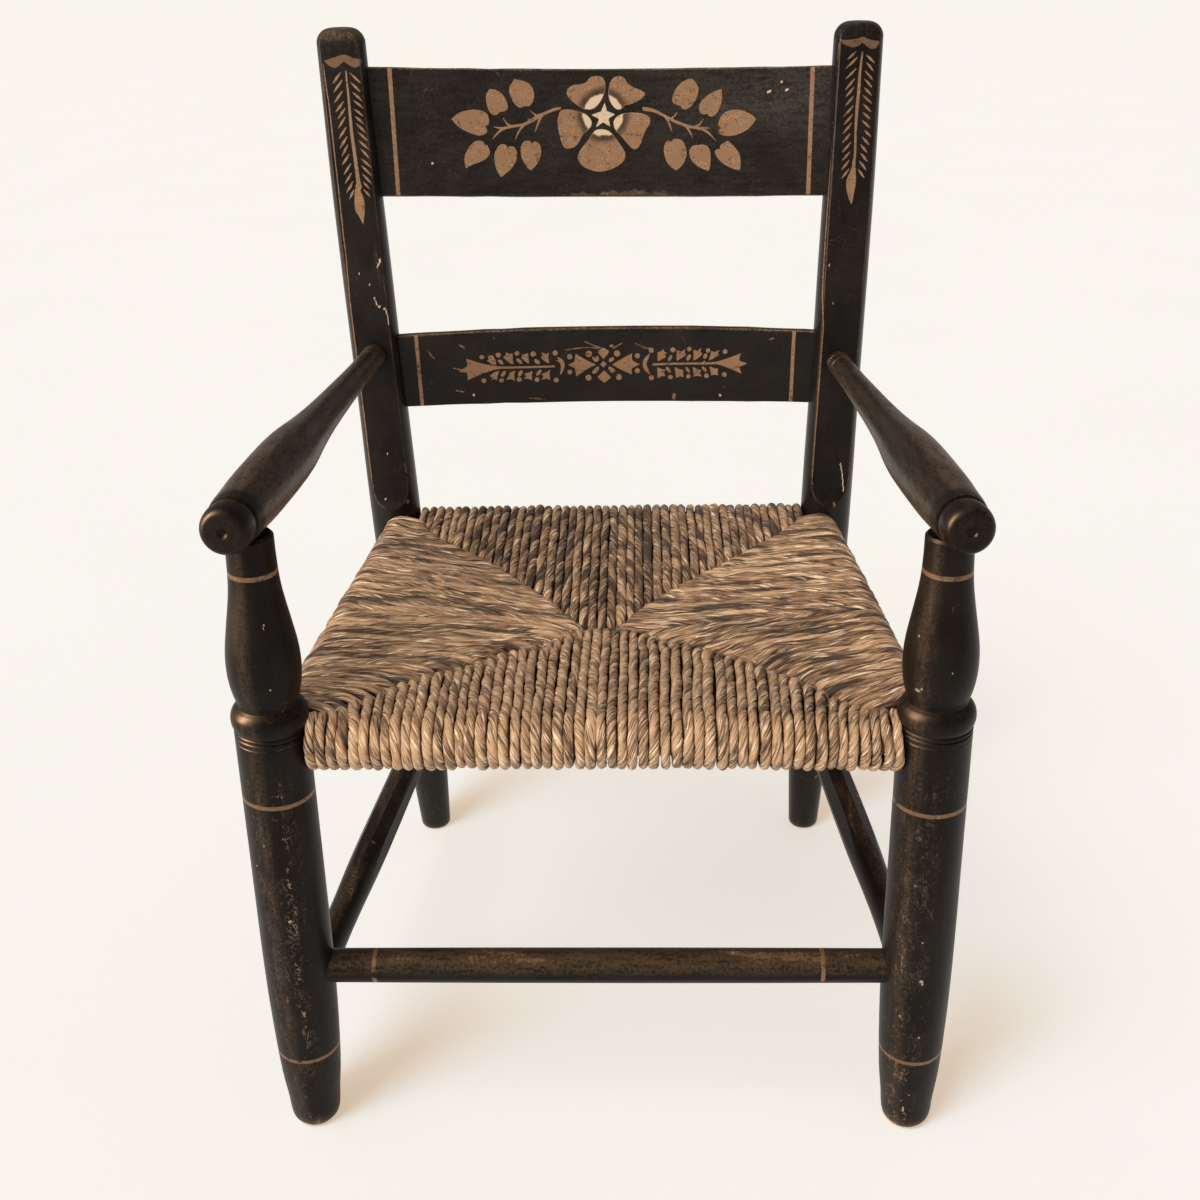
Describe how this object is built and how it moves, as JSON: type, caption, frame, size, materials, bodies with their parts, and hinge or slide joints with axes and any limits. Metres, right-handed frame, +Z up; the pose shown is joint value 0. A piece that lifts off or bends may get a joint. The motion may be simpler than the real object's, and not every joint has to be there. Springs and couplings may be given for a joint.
{
  "type": "stenciled painted rush-seat armchair",
  "caption": "Small turned armchair with a woven rush seat, ladder back of bowed slats, turned arms on the front legs, and black paint with bronze stencils.",
  "frame": {"origin": "on the floor, under the middle of the chair's bounding box", "axes": "+Z up, +Y towards the back of the chair, +X to the sitter's left hand, which is the viewer's right seen from the front"},
  "size_m": [0.4328, 0.4485, 0.648],
  "materials": {
    "black_paint": "turned hardwood under worn near-black paint, rubbed through to brown on edges, with bronze-gold stencilled ornament and bands",
    "bare_wood": "unfinished shaved hardwood, hidden inside the rush",
    "rush": "hand-twisted dry rush cord, satin brown with pale highlights",
    "dry_rush_stuffing": "loose dry rush, packed"
  },
  "bodies": {
    "root": {"front_leg_left": "black_paint", "front_leg_right": "black_paint", "rear_post_left": "black_paint", "rear_post_right": "black_paint", "crest_slat": "black_paint", "lower_slat": "black_paint", "arm_left": "black_paint", "arm_right": "black_paint", "front_stretcher": "black_paint", "rear_stretcher": "black_paint", "side_stretcher_left": "black_paint", "side_stretcher_right": "black_paint", "seat_rail_front": "bare_wood", "seat_rail_rear": "bare_wood", "seat_rail_left": "bare_wood", "seat_rail_right": "bare_wood", "rush_seat": "rush", "seat_stuffing": "dry_rush_stuffing", "crest_slat_pegs": "black_paint"}
  },
  "joints": []
}
